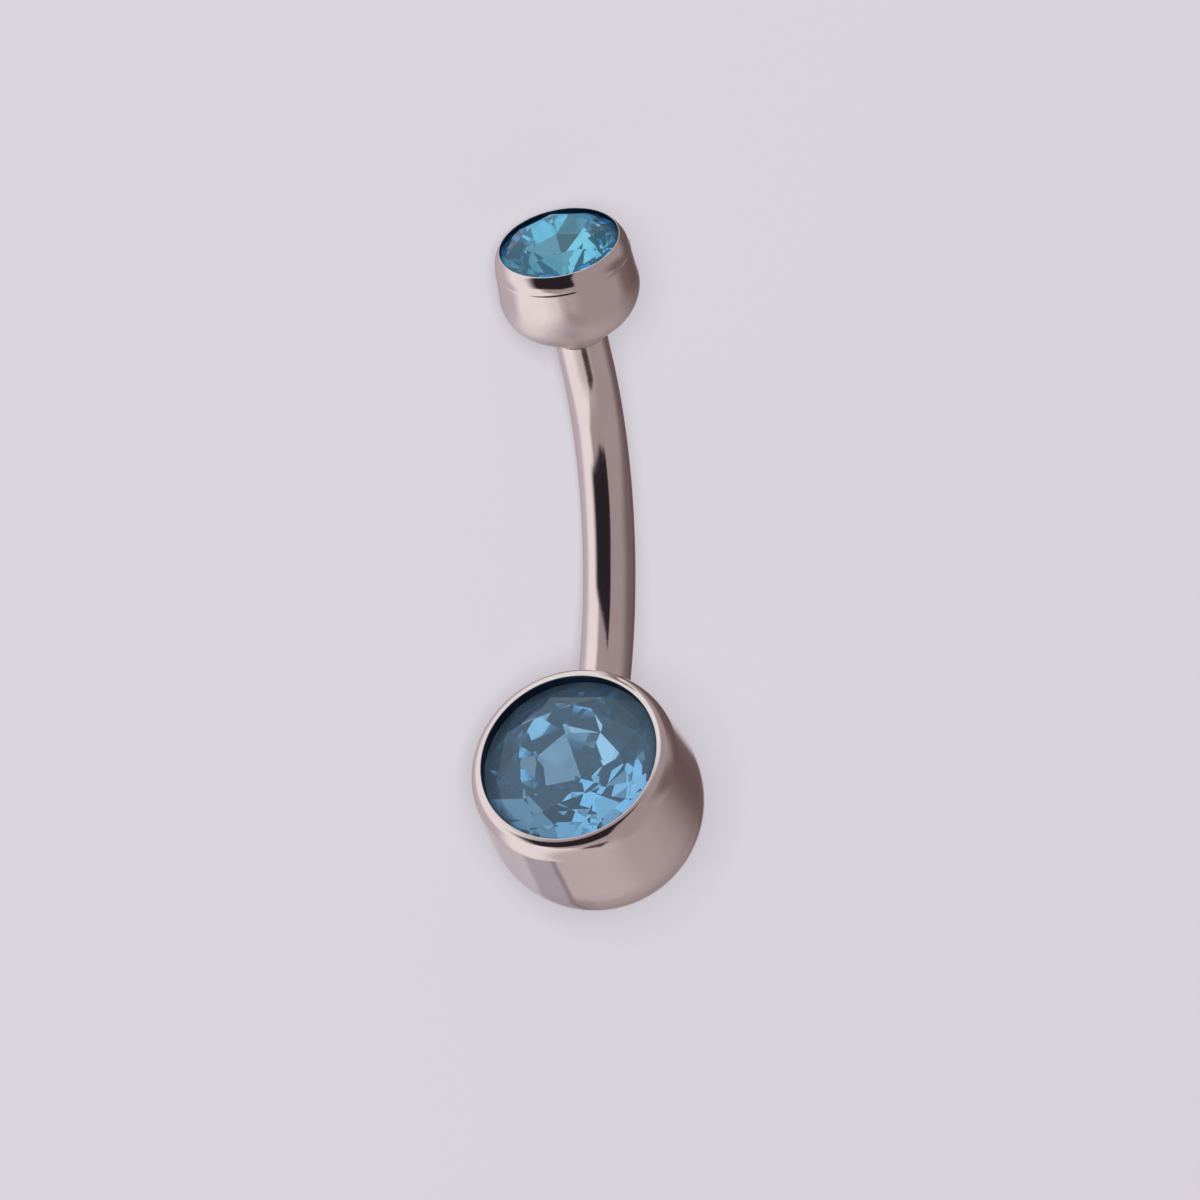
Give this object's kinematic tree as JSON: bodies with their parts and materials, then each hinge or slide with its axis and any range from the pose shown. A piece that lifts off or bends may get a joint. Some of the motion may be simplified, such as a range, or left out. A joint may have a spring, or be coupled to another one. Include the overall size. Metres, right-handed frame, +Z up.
{
  "type": "navel ring",
  "caption": "Curved navel bar lying on its side, with a round faceted stone set in a cup at each end; the small top cup screws off the bar.",
  "frame": {"origin": "centre of the bounding box's underside, where the ring lies on a table", "axes": "+Z up; +X along the bar from the top cup to the larger lower cup; the stones face -Y and up"},
  "size_m": [0.021, 0.0074, 0.0073],
  "materials": {
    "metal": "polished",
    "lower_stone": "polished",
    "top_stone": "polished"
  },
  "bodies": {
    "ring": {"barbell": "metal", "lower_stone": "lower_stone"},
    "top": {"top_setting": "metal", "top_stone": "top_stone"}
  },
  "joints": [
    {"name": "top_unscrews", "type": "slide", "parent": "ring", "child": "top", "axis": [-0.9014, -0.3399, 0.2682], "range_m": [0, 0.008]}
  ]
}
